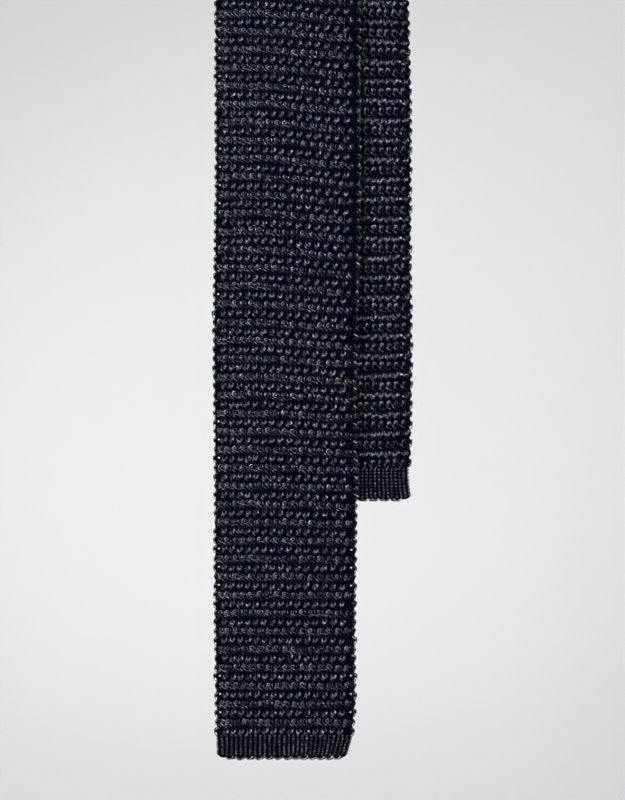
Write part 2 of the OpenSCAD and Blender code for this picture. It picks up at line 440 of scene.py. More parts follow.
# %% Bumps
outer_loop = yarn(
    "outer_loop",
    [(-0.30, 1.15, -0.6), (-0.80, 0.85, 0.45), (-0.98, 0.05, 0.85), (-0.65, -0.85, 0.90),
     (0.05, -1.15, 0.85), (0.70, -0.80, 0.90), (0.95, 0.10, 0.85), (0.80, 0.85, 0.45),
     (0.30, 1.15, -0.6)],
    0.24,
)
inner_loop = yarn(
    "inner_loop",
    [(0.55, 1.15, -0.3), (0.52, 0.75, 0.80), (0.42, 0.10, 1.12), (0.05, -0.40, 1.05),
     (-0.25, -0.65, 0.5)],
    0.24,
)
heart = join("heart", [outer_loop, inner_loop])

outer_hook = yarn(
    "outer_hook",
    [(0.85, 1.10, -0.5), (0.95, 0.35, 0.70), (0.40, 1.00, 0.80), (-0.55, 0.95, 0.80),
     (-0.98, 0.05, 0.80), (-0.50, -0.85, 0.80), (0.45, -0.95, 0.75), (1.15, -1.50, 0.60),
     (1.75, -2.05, 0.35), (2.1, -2.3, -0.3)],
    0.24,
)
inner_hook = yarn(
    "inner_hook",
    [(-0.60, 0.30, 0.2), (-0.45, -0.30, 0.85), (0.30, -0.30, 1.05), (0.75, 0.25, 0.85),
     (0.85, 0.55, 0.2)],
    0.22,
)
hook = join("hook", [outer_hook, inner_hook])

link = yarn(
    "link",
    [(-1.75, -0.3, -0.4), (-1.55, -0.85, 0.40), (-1.0, -1.35, 0.75), (-0.35, -1.85, 0.70),
     (0.0, -2.2, 0.2), (0.2, -2.4, -0.4)],
    0.23,
)
low_link = yarn(
    "low_link",
    [(-0.1, -1.75, -0.5), (0.15, -1.95, 0.35), (0.55, -2.2, 0.65), (0.9, -2.45, 0.35),
     (1.05, -2.65, -0.5)],
    0.16,
)
back_link = yarn(
    "back_link",
    [(1.75, 1.1, -0.4), (1.45, 0.8, 0.45), (1.55, -0.1, 0.60), (1.85, -0.9, 0.45),
     (1.9, -1.4, -0.4)],
    0.22,
)

# %% Plain stitch, scallop, chain and staple
plain_stitch = yarn(
    "plain_stitch",
    [(-0.28, -0.50, -0.50), (-0.42, -0.15, 0.15), (-0.34, 0.30, 0.44), (0.0, 0.55, 0.50),
     (0.34, 0.30, 0.44), (0.42, -0.15, 0.15), (0.28, -0.50, -0.50)],
    0.26,
)
scallop = yarn(
    "scallop",
    [(-2.1, 0.95, -0.3), (-1.65, 0.40, 0.0), (-0.95, -0.42, 0.05), (0.0, -0.75, 0.05),
     (0.95, -0.42, 0.05), (1.65, 0.40, 0.0), (2.1, 0.95, -0.3)],
    0.38,
    6,
)
chain = yarn(
    "chain",
    [(0.0, -1.9, -0.10), (-0.42, -1.0, 0.25), (-0.62, 0.3, 0.3), (-0.35, 1.2, 0.2),
     (0.35, 1.2, 0.2), (0.62, 0.3, 0.3), (0.42, -1.0, 0.25), (0.0, -1.9, -0.10)],
    0.22,
)
staple = yarn(
    "staple",
    [(0, -1.0, -0.35), (0, -0.85, 0.12), (0.05, 0, 0.22), (0, 0.85, 0.12), (0, 1.0, -0.35)],
    0.17,
)
UNITS = [heart, hook, link, low_link, back_link, plain_stitch, scallop, chain, staple]
for unit in UNITS:
    print(f"{unit.name}: {len(unit.data.polygons)} faces")


# %% [markdown]
# ## Laying copies of a stitch
#
# An Array modifier repeats a piece in even steps, but this knitting narrows, turns over a bar and
# wanders, and its loops are never quite alike. So each copy is placed by its own little frame:
# where it sits, which way is up along its column, and which way is out of the cloth. The copies
# become one mesh, with the yarn's coordinates copied along.


# %% Copies
def read(items, field, width, kind=float):
    """One field of every item of a mesh, with width numbers for each."""
    values = np.empty(len(items) * width, kind)
    items.foreach_get(field, values)
    return values.reshape(-1, width) if width > 1 else values


def read_unit(unit):
    mesh = unit.data
    points = read(mesh.vertices, "co", 3)
    corners = read(mesh.loops, "vertex_index", 1, np.int64)
    starts = read(mesh.polygons, "loop_start", 1, np.int64)
    return points, corners, starts, read(mesh.uv_layers["UVMap"].data, "uv", 2)


def lay(name, sets, material):
    """One mesh of the copies in sets, which pairs each unit with its places."""
    points, corners, starts, uvs = [], [], [], []
    n_points = n_corners = 0
    for unit, at in sets:
        co, corner, start, uv = read_unit(unit)
        count = len(at.spot)
        size = at.size[:, None, None]
        made = (
            at.spot[:, None, :]
            + size * co[None, :, 0:1] * at.across[:, None, :]
            + size * co[None, :, 1:2] * at.up[:, None, :]
            + size * co[None, :, 2:3] * at.out[:, None, :]
        )
        step = np.arange(count)[:, None]
        points.append(made.reshape(-1, 3))
        corners.append((corner[None] + step * len(co) + n_points).ravel())
        starts.append((start[None] + step * len(corner) + n_corners).ravel())
        uvs.append(np.tile(uv, (count, 1)) + np.repeat(at.phase, len(corner))[:, None])
        n_points += count * len(co)
        n_corners += count * len(corner)
    mesh = bpy.data.meshes.new(name)
    mesh.vertices.add(n_points)
    mesh.vertices.foreach_set("co", np.concatenate(points).ravel())
    mesh.loops.add(n_corners)
    mesh.loops.foreach_set("vertex_index", np.concatenate(corners).astype(np.int32))
    starts = np.concatenate(starts)
    mesh.polygons.add(len(starts))
    mesh.polygons.foreach_set("loop_start", starts.astype(np.int32))
    mesh.update(calc_edges=True)
    mesh.uv_layers.new(name="UVMap").data.foreach_set("uv", np.concatenate(uvs).ravel())
    mesh.polygons.foreach_set("use_smooth", np.ones(len(starts), bool))
    mesh.materials.append(material)
    made = bpy.data.objects.new(name, mesh)
    bpy.context.collection.objects.link(made)
    print(f"{name}: {len(starts)} faces")
    return made


def places(spot, up, out, rng, wobble, spin, sizes, size=1.0):
    """The frames of copies, each shifted, turned and sized a little by chance."""
    n = len(spot)
    across = np.cross(up, out)
    angle = (np.clip(rng.normal(0, 1, n), -2, 2) * spin)[:, None]
    shift = np.clip(rng.normal(0, 1, (n, 3)), -2, 2) * wobble
    return SimpleNamespace(
        spot=spot + shift,
        across=np.cos(angle) * across + np.sin(angle) * up,
        up=np.cos(angle) * up - np.sin(angle) * across,
        out=out,
        size=size * (1 + np.clip(rng.normal(0, 1, n), -2, 2) * sizes),
        phase=rng.random(n),
    )


def chosen(at, keep):
    return SimpleNamespace(**{key: value[keep] for key, value in vars(at).items()})


# %% [markdown]
# ## The bump knit
#
# The tie is a strip folded to a flat tube, so it has a front face, a back face and two edges. The
# rows are staggered, and every row ends in a loop right on the edge: that is what makes the
# outline scalloped, with a little hole beside some of the loops. One side of the front is knitted
# looser. Rows are counted upwards from the hem. Past the bar the cloth is upside down, and there
# each second row of loops stands on its head. A leg is split in five, so that no piece crosses
# two folds.

# %% Where the bumps of a row sit
LIFT = 0.38 * MM
EDGE_IN = 0.85 * MM
OUTER = 1
INNER = -1
SEAM_HALF = 1.5 * MM


def slack(t):
    """Where a stitch at share t of the width goes, when one side is knitted looser."""
    return t - 0.09 * t * (1 - t)


def ease_right(leg, depth):
    """How much further the right side stands out, most of all high up on the front."""
    if leg is tail:
        return 0.7 * MM * smooth((depth - 0.3) / 0.1)
    high = smooth((depth - 0.35) / 0.06) * (1 - smooth((depth - 0.53) / 0.1))
    low = smooth((depth - 0.66) / 0.09) + 1.3 * smooth((depth - 0.745) / 0.012)
    return MM * (0.4 * smooth((depth - 0.3) / 0.1) + 1.3 * high - 0.85 * low)


def row_u(leg, row, half):
    """The across-places of one row's inner bumps, from the left edge of the face to the right."""
    width = 2 * half
    if leg is front:
        left, right = ((4.5, 5.6), (5.5, 3.9))[row % 2]
        count = max(3, round((width - 9.8 * MM) / leg.column) + 1)
        return -half + left * MM + (width - (left + right) * MM) * slack(np.linspace(0, 1, count))
    if row % 2 == 0:
        count = max(3, round((width - 7 * MM) / leg.column) + 1)
        return -half + 3.5 * MM + (width - 7 * MM) * np.linspace(0, 1, count)
    count = max(2, round((width - 13.4 * MM) / leg.column) + 1)
    middle = -half + 6.7 * MM + (width - 13.4 * MM) * np.linspace(0, 1, count)
    return np.concatenate([[-half + 2.4 * MM], middle, [half - 2.4 * MM]])


def bump_places(leg, face, top, end, seed):
    """The frames of the bumps between two distances down the tie, with each one's row and edge."""
    rng = np.random.default_rng(seed)
    start = leg.knit_end + QUARTER
    us, vs, edges, rows = [], [], [], []
    for row in range(leg.rows):
        v = start - (row + 0.5) * leg.row
        if not top <= v < end:
            continue
        half = float(half_width(leg, max(v - QUARTER, 0)))
        u = row_u(leg, row, half)
        if face == INNER:
            u = u[np.abs(u) > SEAM_HALF]
        edge = np.zeros(len(u))
        if leg is front and row % 2:
            u = np.concatenate([u, [-half + 2.9 * MM]])
            edge = np.concatenate([edge, [0]])
        if face == OUTER:
            u = np.concatenate([u, [-half + EDGE_IN, half - EDGE_IN]])
            edge = np.concatenate([edge, [-1, 1]])
        us.append(u)
        edges.append(edge)
        vs.append(np.full(len(u), v))
        rows.append(np.full(len(u), row))
    u, v, edge, row = map(np.concatenate, (us, vs, edges, rows))
    depth = np.maximum(v - QUARTER, 0)
    half = half_width(leg, depth)
    sag = droop(leg, u, depth) + 0.2 * MM * np.sin(u / 0.0043 + row * 2.1)
    centre, down, out = leg_frame(leg, v + sag * smooth(depth / 0.05))
    u = u + np.maximum(u, 0) / half * ease_right(leg, depth)
    near = np.clip((np.abs(u) - half + 5.5 * MM) / (3.5 * MM), 0, 1) ** 2
    tilt = np.where(edge != 0, edge * math.radians(80), np.sign(u) * math.radians(32) * near)
    tilt = tilt[:, None]
    outward = np.cos(tilt) * out * face + np.sin(tilt) * X_WAY
    lift = np.where(edge != 0, 0, LIFT * (1 - 0.5 * near))[:, None]
    spot = centre + u[:, None] * X_WAY + lift * out * face
    at = places(spot, -down, outward, rng, 0.12 * MM, 0.13, 0.05)
    at.size = at.size * np.where((edge != 0) & (row % 2 == 1), 0.86, 1.0)
    return at, row, edge


def knit(leg, name, face, top, end, seed):
    """One face of the knitting between two distances: its bumps and the strands that tie them."""
    at, row, edge = bump_places(leg, face, top, end, seed)
    first = row % 2 == 0
    inner = edge == 0
    sets = [(link, at), (back_link, chosen(at, inner & ~first))]
    if leg is tail:
        over = chosen(at, first)
        over.up = -over.up
        over.across = -over.across
        sets.append((low_link, chosen(at, inner & first)))
        sets += [(heart, over), (heart, chosen(at, ~first))]
    else:
        sets.append((heart, chosen(at, first | ~inner)))
        sets.append((hook, chosen(at, ~first & inner)))
    return lay(name, sets, yarn_silk)


# %% Zones between the folds
REACH = 0.030
CLEAR = 0.007


def zones(leg):
    """Where each zone of a leg starts and ends, as distance down the tie."""
    bar_end = QUARTER + 2 * NECK_STRAIGHT + CLEAR
    bend_top = QUARTER + leg.fold - REACH - CLEAR
    bend_end = QUARTER + leg.fold + REACH + CLEAR
    return {
        "bar": (0.0, bar_end),
        "neck": (bar_end, QUARTER + TAPER_END),
        "upper": (QUARTER + TAPER_END, bend_top),
        "bend": (bend_top, bend_end),
        "end": (bend_end, QUARTER + leg.knit_end),
    }


def move_with(piece, leg, zone):
    """Ride the leg; where a zone crosses a fold, keep the piece where it lies, its transform baked
    in.
    """
    if zone == "bar":
        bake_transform(piece)
    elif zone == "bend":
        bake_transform(piece)
    else:
        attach(piece, f"{leg.name}_end" if zone == "end" else f"{leg.name}_leg")


bump_pieces = {leg.name: [] for leg in LEGS}
for leg in LEGS:
    for k, (zone, (top, end)) in enumerate(zones(leg).items()):
        for face, face_name in ((OUTER, "face"), (INNER, "back")):
            seed = 100 * (leg is tail) + 10 * k + (face == INNER)
            piece = knit(leg, f"{leg.name}_{zone}_{face_name}_bumps", face, top, end, seed)
            move_with(piece, leg, zone)
            bump_pieces[leg.name].append(piece)

# %% [markdown]
# ## The ground cloth
#
# Under the bumps lies the close ground of the same yarn. It is dyed darker than the loops, as
# painted shade for the gaps between them. Only slivers of it show, so it is one skin: a grid bent
# round to a flat tube and joined along the back. Its points are packed close beside the edges,
# where faces are deleted to open the small holes.


# %% Grid round a leg
# In millimetres: where the holes lie in from the edge, and half the thickness of the flat tube.
HOLE_AT = {"front": (1.75, 2.45), "tail": (4.15, 4.85)}
GROUND_HALF = 0.42
HOLE_HALF = 0.27 * MM
VALLEY = 0.38 * MM


def cross_section(leg):
    """Across-places, as distance in from the edge, and out-places, round the flat tube."""
    ins = [0, 0.08, 0.4, *HOLE_AT[leg.name], 6.5]
    ups = [0, 0.6, 0.95, 1, 1, 1]
    half = [(i, GROUND_HALF * up) for i, up in zip(ins, ups)]
    left = [(-1, i, w) for i, w in half]
    right = [(1, i, w) for i, w in half[::-1]]
    over = left + [(0, 0, GROUND_HALF)] + right
    back = [(s, i, -w) for s, i, w in over[::-1]]
    return over + back[1:-1]


def tube_grid(name, columns, rows):
    """A grid, with the row and column of each point; its last column falls on its first."""
    deselect()
    bpy.ops.mesh.primitive_grid_add(x_subdivisions=columns, y_subdivisions=rows - 1, size=2)
    made = bpy.context.object
    made.name = name
    co = read(made.data.vertices, "co", 3)
    column = np.rint((co[:, 0] + 1) / 2 * columns).astype(int) % columns
    row = np.rint((1 - co[:, 1]) / 2 * (rows - 1)).astype(int)
    return made, row, column


def finish_skin(made, material):
    """Turn the faces of the active piece outwards, shade it smooth and dress it."""
    bpy.ops.object.mode_set(mode="EDIT")
    bpy.ops.mesh.select_all(action="SELECT")
    bpy.ops.mesh.normals_make_consistent(inside=False)
    bpy.ops.object.mode_set(mode="OBJECT")
    bpy.ops.object.shade_smooth()
    made.data.materials.append(material)


def close_tube(made, material, doomed=()):
    """Delete the doomed faces of the grid just made, join its two sides and finish it."""
    bpy.ops.object.mode_set(mode="EDIT")
    bpy.ops.mesh.select_mode(type="FACE")
    bpy.ops.mesh.select_all(action="DESELECT")
    bpy.ops.object.mode_set(mode="OBJECT")
    for i in doomed:
        made.data.polygons[i].select = True
    bpy.ops.object.mode_set(mode="EDIT")
    if doomed:
        bpy.ops.mesh.delete(type="FACE")
    bpy.ops.mesh.select_all(action="SELECT")
    bpy.ops.mesh.remove_doubles(threshold=0.01 * MM)
    finish_skin(made, material)


def ground_tube(leg, name, top, end):
    section = cross_section(leg)
    sides = np.array([s for s, i, w in section])
    ins = np.array([i for s, i, w in section]) * MM
    outs = np.array([w for s, i, w in section]) * MM
    start = leg.knit_end + QUARTER
    lines, holes = [top], []
    for row in range(leg.rows - 1, -1, -1):
        v = start - (row + 0.5) * leg.row
        if not top + 1.5 * MM <= v < end - 1.5 * MM:
            continue
        if row % 2 == (leg is tail):
            if math.sin(row * 2.7) < 0:  # about half of these rows, in no even order
                holes.append(len(lines))
            lines += [v - HOLE_HALF, v + HOLE_HALF]
        else:
            lines.append(v)
        if v + leg.row / 2 < end - 1 * MM:
            lines.append(v + leg.row / 2)
    lines.append(end)
    v = np.array(lines)
    valley = VALLEY * (1 - np.cos(2 * math.pi * (v - start) / leg.row + math.pi))
    made, row, column = tube_grid(name, len(section), len(v))
    depth = np.maximum(v - QUARTER, 0)
    half = half_width(leg, depth)
    at_edge = np.clip(1.7 - ins[column] / MM, 0, 1)
    u = sides[column] * (half[row] - ins[column] - at_edge * valley[row])
    sag = droop(leg, u, depth[row]) * smooth(depth[row] / 0.05)
    inside = (row > 0) & (row < len(v) - 1)
    centre, down, out = leg_frame(leg, v[row] + sag * inside)
    u = u + np.maximum(u, 0) / half[row] * ease_right(leg, depth[row])
    co = centre + u[:, None] * X_WAY + outs[column][:, None] * out
    made.data.vertices.foreach_set("co", co.ravel())
    doomed = []
    low, high = HOLE_AT[leg.name]
    for face in made.data.polygons:
        r = min(row[k] for k in face.vertices)
        near = [ins[column[k]] for k in face.vertices]
        if r in holes and min(near) > (low - 0.05) * MM and max(near) < (high + 0.05) * MM:
            doomed.append(face.index)
    close_tube(made, ground_silk, doomed)
    print(f"{name}: {len(v)} rows, {len(doomed)} faces open")
    return made


SHEET_SPLIT = QUARTER + 0.28


def sheet_parts(leg):
    """The two lengths of ground cloth in a leg: name, top and end."""
    return ("upper", 0.0, SHEET_SPLIT), ("lower", SHEET_SPLIT, QUARTER + leg.knit_end)


grounds = {}
for leg in LEGS:
    for part, top, end in sheet_parts(leg):
        piece = ground_tube(leg, f"{leg.name}_{part}_ground", top, end)
        move_with(piece, leg, "bar" if part == "upper" else "bend")
        grounds[leg.name, part] = piece

# %% [markdown]
# ## The plain hems
#
# Each end finishes in a band of plain knitting, turned up inside the tube. Turning it over a row
# of eyelets gives its lower edge small scallops. The skin runs down the outside, round the
# scallops and up the inside as one grid, so that the band is truly doubled. Plain stitches lie
# in columns round it, and a thicker strand follows the scallops.

# %% Hem sizes
HEMS = {
    "front": SimpleNamespace(course=1.3 * MM, wale=1.93 * MM, scallop=3.9 * MM, relief=0.8),
    "tail": SimpleNamespace(course=1.44 * MM, wale=1.74 * MM, scallop=4.4 * MM, relief=1.3),
}
HEM_THICK = 1.0 * MM
DRAWN_WALE = 1.75  # the plain stitch is drawn for columns this many millimetres apart


def hem_side(leg, u, share):
    """Across-place in a band whose sides aren't quite straight, at share of its height."""
    if leg is front:
        stretch = np.where(u > 0, 0.987 - 0.091 * smooth(share), 1.057 - 0.027 * share)
    else:
        stretch = np.where(u > 0, 1.007 + 0.053 * share * share, 1.0)
    return u * stretch


def hem_drop(leg, u):
    """How far the lower edge rises towards its corners."""
    beyond = np.clip((np.abs(u) - leg.hem_half + 6 * MM) / (6 * MM), 0, 1)
    rise = np.where(u > 0, 1.3 if leg is tail else 0.9, 1.0) * MM
    return -rise * beyond ** 2.5


def around(leg, s, thick):
    """A point at distance s round the flat band: across, out, and the way it faces."""
    straight = 2 * (leg.hem_half - thick)
    cap = math.pi * thick
    s = np.mod(s, 2 * (straight + cap))
    on_face = s < straight
    on_right = ~on_face & (s < straight + cap)
    on_back = ~on_face & ~on_right & (s < 2 * straight + cap)
    a = np.where(on_right, (s - straight) / thick, (s - 2 * straight - cap) / thick + math.pi)
    u = np.where(on_face, s - straight / 2, np.where(on_back, 1.5 * straight + cap - s, 0))
    u = np.where(on_face | on_back, u, np.sign(np.sin(a)) * straight / 2 + thick * np.sin(a))
    w = np.where(on_face, thick, np.where(on_back, -thick, thick * np.cos(a)))
    nx = np.where(on_face | on_back, 0, np.sin(a))
    nw = np.where(on_face, 1, np.where(on_back, -1, np.cos(a)))
    return u, w, nx, nw


def perimeter(leg):
    return 4 * (leg.hem_half - HEM_THICK) + 2 * math.pi * HEM_THICK


def scallops(leg, s, pitch):
    count = round(perimeter(leg) / pitch)
    wavy = np.cos(2 * math.pi * s / perimeter(leg) * count)
    return 0.38 * MM * (wavy - 1)


# %% Hem skins
def hem_skin(leg):
    knit = HEMS[leg.name]
    columns = 176
    height = leg.end - leg.knit_end
    downs = [-0.6 * MM, 0.3 * height, 0.7 * height, height - 0.5 * MM, height, height - 0.4 * MM]
    downs += [0.5 * height, 0.5 * MM]
    thick = np.array([1.0, 1, 1, 0.95, 0.62, 0.5, 0.45, 0.45]) * HEM_THICK
    made, row, column = tube_grid(f"{leg.name}_hem_skin", columns, len(downs))
    s = column / columns * perimeter(leg)
    u, w, _, _ = around(leg, s, HEM_THICK)
    share = np.clip(np.array(downs)[row] / height, 0, 1)
    scale = thick[row] / HEM_THICK
    fall = np.array(downs)[row] + share ** 6 * (scallops(leg, s, knit.scallop) + hem_drop(leg, u))
    centre, down, out = leg_frame(leg, QUARTER + leg.knit_end + fall)
    u = hem_side(leg, u, share) - np.sign(u) * (1 - scale) * 0.5 * MM
    co = centre + u[:, None] * X_WAY + (w * scale)[:, None] * out
    made.data.vertices.foreach_set("co", co.ravel())
    close_tube(made, ground_silk)
    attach(made, f"{leg.name}_end")
    return made


# %% Hem stitches and scallops
def hem_stitches(leg, seed):
    knit = HEMS[leg.name]
    rng = np.random.default_rng(seed)
    height = leg.end - leg.knit_end
    wales = round(perimeter(leg) / knit.wale)
    courses = int((height - 0.5 * MM) / knit.course)
    s, fall = np.meshgrid(
        (np.arange(wales) + 0.5) / wales * perimeter(leg),
        (np.arange(courses) + 0.45) * knit.course,
    )
    s, fall = s.ravel(), fall.ravel()
    u, w, nx, nw = around(leg, s, HEM_THICK)
    share = fall / height
    fall = fall + share ** 6 * (scallops(leg, s, knit.scallop) + hem_drop(leg, u))
    centre, down, out = leg_frame(leg, QUARTER + leg.knit_end + fall)
    lean = 0.5 * MM * np.sin(u / 0.011) * share * (nw > 0)
    spot = centre + (hem_side(leg, u, share) + lean)[:, None] * X_WAY + w[:, None] * out
    facing = nx[:, None] * X_WAY + nw[:, None] * out
    size = knit.wale / DRAWN_WALE / MM
    at = places(spot, leg.side * down, facing, rng, 0.05 * MM, 0.07, 0.06, size)
    at.out = at.out * knit.relief
    rim = round(perimeter(leg) / knit.scallop)
    s = np.arange(rim) / rim * perimeter(leg)
    u, w, nx, nw = around(leg, s, HEM_THICK * 0.75)
    flat = (np.abs(nw) > 0.9) & (np.abs(u) < leg.hem_half - 2.6 * MM)
    u, w, nx, nw = u[flat], w[flat], nx[flat], nw[flat]
    bottom = QUARTER + leg.end - 0.62 * MM + hem_drop(leg, u)
    centre, down, out = leg_frame(leg, bottom)
    spot = centre + hem_side(leg, u, 1.0)[:, None] * X_WAY + w[:, None] * out
    facing = nx[:, None] * X_WAY + nw[:, None] * out
    rim_at = places(spot, -down, facing, rng, 0.06 * MM, 0.05, 0.05)
    made = lay(f"{leg.name}_hem_stitches_plain", [(plain_stitch, at), (scallop, rim_at)], fine_silk)
    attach(made, f"{leg.name}_end")
    return made


hem_skins = {leg.name: hem_skin(leg) for leg in LEGS}
hem_knits = {leg.name: hem_stitches(leg, 7 + leg.side) for leg in LEGS}

# %% [markdown]
# ## Seams and tacks
#
# The strip is closed down the middle of the back by a chain of crocheted loops, which can
# stretch with the knitting. A bar of thread wraps finishes it above each hem, and small slanting
# stitches hold the turned-up hem. A thread stitch is a short staple, laid across the edge.


# %% Centre-back chains
CHAIN_PITCH = 2.7 * MM


def seam_chain(leg, zone, top, end, seed):
    rng = np.random.default_rng(seed)
    v = np.arange(top + 1.4 * MM, end - 0.6 * MM, CHAIN_PITCH)
    depth = np.maximum(v - QUARTER, 0)
    centre, down, out = leg_frame(leg, v)
    spot = centre + INNER * 1.0 * MM * out
    at = places(spot, -down, INNER * out, rng, 0.05 * MM, 0.06, 0.04)
    made = lay(f"{leg.name}_{zone}_seam_chain", [(chain, at)], thread_silk)
    move_with(made, leg, zone)
    return made


seam_pieces = {leg.name: [] for leg in LEGS}
for leg in LEGS:
    for k, (zone, (top, end)) in enumerate(zones(leg).items()):
        seam_pieces[leg.name].append(seam_chain(leg, zone, top, end, 40 + k + leg.side))


# %% Staples
WRAP_PITCH = 0.55 * MM
SLIP_PITCH = 5 * MM


def staples(name, spots, ways, facing, body, seed, size=1.0):
    """Thread stitches at spots, lying along ways on a surface that looks the facing way."""
    rng = np.random.default_rng(seed)
    spots, ways, facing = np.broadcast_arrays(spots, ways, facing)
    at = places(spots, ways, facing, rng, 0.04 * MM, 0.06, 0.05, size)
    made = lay(name, [(staple, at)], thread_silk)
    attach(made, body)
    return made


tacks, slips = {}, {}
for leg in LEGS:
    low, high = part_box(f"{leg.name}_bar_tack")
    y = leg.side * (FOLD_R - 1.55 * MM)
    z = (low.z + high.z) / 2
    wraps = [(x, y, z) for x in np.arange(low.x + 0.3 * MM, high.x, WRAP_PITCH)]
    facing = (0, -leg.side, 0)
    body = f"{leg.name}_end"
    tacks[leg.name] = staples(
        f"{leg.name}_bar_tack_thread", wraps, (0.15, 0, 0.99), facing, body, 60 + leg.side
    )
    low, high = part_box(f"{leg.name}_hem_stitches")
    y = leg.side * (FOLD_R - 1.35 * MM)
    z = low.z + 0.2 * MM
    slants = [(x, y, z) for x in np.arange(low.x, high.x, SLIP_PITCH)]
    slips[leg.name] = staples(
        f"{leg.name}_hem_slip_stitches", slants, (0.6, 0, 0.8), facing, body, 70 + leg.side
    )

# %% [markdown]
# ## The keeper loop
#
# The tail can be threaded through a band of plain knitting sewn across the back of the blade. It
# is a bracket. One point is extruded along its path and the line is extruded upwards; the strip is
# thickened and rounded, has plain stitches laid over its outside, and is overcast at its two feet.

# %% Keeper strip
keeper_low, keeper_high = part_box("keeper_loop")
KEEPER_T = 0.9 * MM
FOOT = 1.5 * MM
KEEPER_STEPS = 6


def keeper_path():
    """The strip's middle line seen from above, from the left foot to the right one."""
    x0, x1 = keeper_low.x, keeper_high.x
    y0 = keeper_low.y + KEEPER_T / 2
    y1 = keeper_high.y - KEEPER_T / 2 - 0.2 * MM
    left = [(x0, y0), (x0 + FOOT, y0), (x0 + FOOT + 0.4 * MM, y0 + 0.9 * MM)]
    left += [(x0 + FOOT + 1.0 * MM, y1 - 0.8 * MM), (x0 + FOOT + 2.4 * MM, y1)]
    right = [(x0 + x1 - x, y) for x, y in left[::-1]]
    middle = [(x0 + (x1 - x0) * k / 8, y1 + 0.15 * MM * math.sin(k * 1.9)) for k in range(1, 8)]
    return left + middle + right


path = keeper_path()
deselect()
bpy.ops.mesh.primitive_plane_add(size=1, calc_uvs=False)
keeper_band = bpy.context.object
keeper_band.name = "keeper_band"
bpy.ops.object.mode_set(mode="EDIT")
bpy.ops.mesh.select_mode(type="VERT")
bpy.ops.mesh.select_all(action="SELECT")
bpy.ops.mesh.merge(type="CENTER")
bpy.ops.transform.translate(value=(*path[0], keeper_low.z))
for (x0, y0), (x1, y1) in zip(path, path[1:]):
    bpy.ops.mesh.extrude_vertices_move(TRANSFORM_OT_translate={"value": (x1 - x0, y1 - y0, 0)})
bpy.ops.mesh.select_all(action="SELECT")
height = keeper_high.z - keeper_low.z
rise = height / KEEPER_STEPS
for _ in range(KEEPER_STEPS):
    bpy.ops.mesh.extrude_edges_move(TRANSFORM_OT_translate={"value": (0, 0, rise)})
bpy.ops.mesh.select_all(action="SELECT")
bpy.ops.mesh.normals_make_consistent(inside=False)
bpy.ops.object.mode_set(mode="OBJECT")
solid = keeper_band.modifiers.new("wall", "SOLIDIFY")
solid.thickness = 0.55 * MM
solid.offset = 0
round_off = keeper_band.modifiers.new("round", "SUBSURF")
round_off.levels = 1
for modifier in ("wall", "round"):
    bpy.ops.object.modifier_apply(modifier=modifier)
bpy.ops.object.shade_smooth()
keeper_band.data.materials.append(ground_silk)
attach(keeper_band, "front_end")


# %% Keeper stitches
def along_path(path, step):
    """Evenly spaced points on a path, with the way along it at each."""
    p = np.array(path)
    lengths = np.linalg.norm(np.diff(p, axis=0), axis=1)
    at = np.concatenate([[0], np.cumsum(lengths)])
    s = np.arange(step / 2, at[-1], step)
    spots = np.stack([np.interp(s, at, p[:, 0]), np.interp(s, at, p[:, 1])], -1)
    k = np.clip(np.searchsorted(at, s) - 1, 0, len(lengths) - 1)
    return spots, np.diff(p, axis=0)[k] / lengths[k][:, None]


spots, ways = along_path(path, DRAWN_WALE * MM)
rows = round(height / (1.35 * MM))
spot, up, out = [], [], []
for k in range(rows):
    z = keeper_low.z + (k + 0.5) * height / rows
    for (x, y), (wx, wy) in zip(spots, ways):
        normal = Vector((-wy, wx, 0))
        spot.append((x + normal.x * 0.3 * MM, y + normal.y * 0.3 * MM, z))
        up.append((0, 0, 1))
        out.append(tuple(normal))
rng = np.random.default_rng(5)
spot, up, out = (np.array(a, float) for a in (spot, up, out))
at = places(spot, up, out, rng, 0.04 * MM, 0.06, 0.05, 0.95)
keeper_knit = lay("keeper_knit", [(plain_stitch, at)], fine_silk)
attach(keeper_knit, "front_end")
feet = [(x, keeper_low.y + 1.15 * MM, z)
        for x in (keeper_low.x + 0.6 * MM, keeper_high.x - 0.6 * MM)
        for z in np.arange(keeper_low.z + 1 * MM, keeper_high.z, 1.7 * MM)]
keeper_thread = staples("keeper_thread", feet, (1, 0, 0.25), (0, 1, 0), "front_end", 81)

# %% [markdown]
# ## The labels
#
# A woven label is sewn flat on the back of the blade, and a satin care label hangs below it by
# its sewn heading. Both are left blank. Each is a grid with a slight ripple, thickened and with
# its edges rounded; the satin one is thinner and curls a little away from the blade.


# %% Label materials
def woven(name, dark, light, pitch_x, pitch_z, roughness, specular):
    made, tree, shader = new_material(name, dark, roughness, specular)
    x, _, z = axes(tree, object_place(tree))
    weave = math_node(tree, "MULTIPLY", wave(tree, x, pitch_x), wave(tree, z, pitch_z))
    fuzz = noise(tree, object_place(tree), 1500, 3.0)
    relief = math_node(tree, "MULTIPLY_ADD", weave, 0.6, fuzz)
    tree.links.new(bump(tree, relief, 0.6, 0.00012), shader.inputs["Normal"])
    tree.links.new(between(tree, relief, dark, light), shader.inputs["Base Color"])
    rough = math_node(tree, "MULTIPLY_ADD", fuzz, 0.2, roughness - 0.1)
    tree.links.new(rough, shader.inputs["Roughness"])
    return made


# name, dark, light, pitch across, pitch up, roughness, mirror share
WEAVES = [
    ("label_weave", (0.004, 0.005, 0.011), (0.012, 0.014, 0.026), 0.9 * MM, 0.6 * MM, 0.5, 0.1),
    ("label_satin", (0.020, 0.020, 0.023), (0.034, 0.034, 0.038), 0.5 * MM, 1.6 * MM, 0.4, 0.15),
]
label_weave, label_satin = [woven(*values) for values in WEAVES]


# %% Label pieces
LABEL_LIFT = 0.15 * MM
THREAD_LIFT = 0.03 * MM
WOVEN_T = 0.4 * MM
SATIN_T = 0.25 * MM


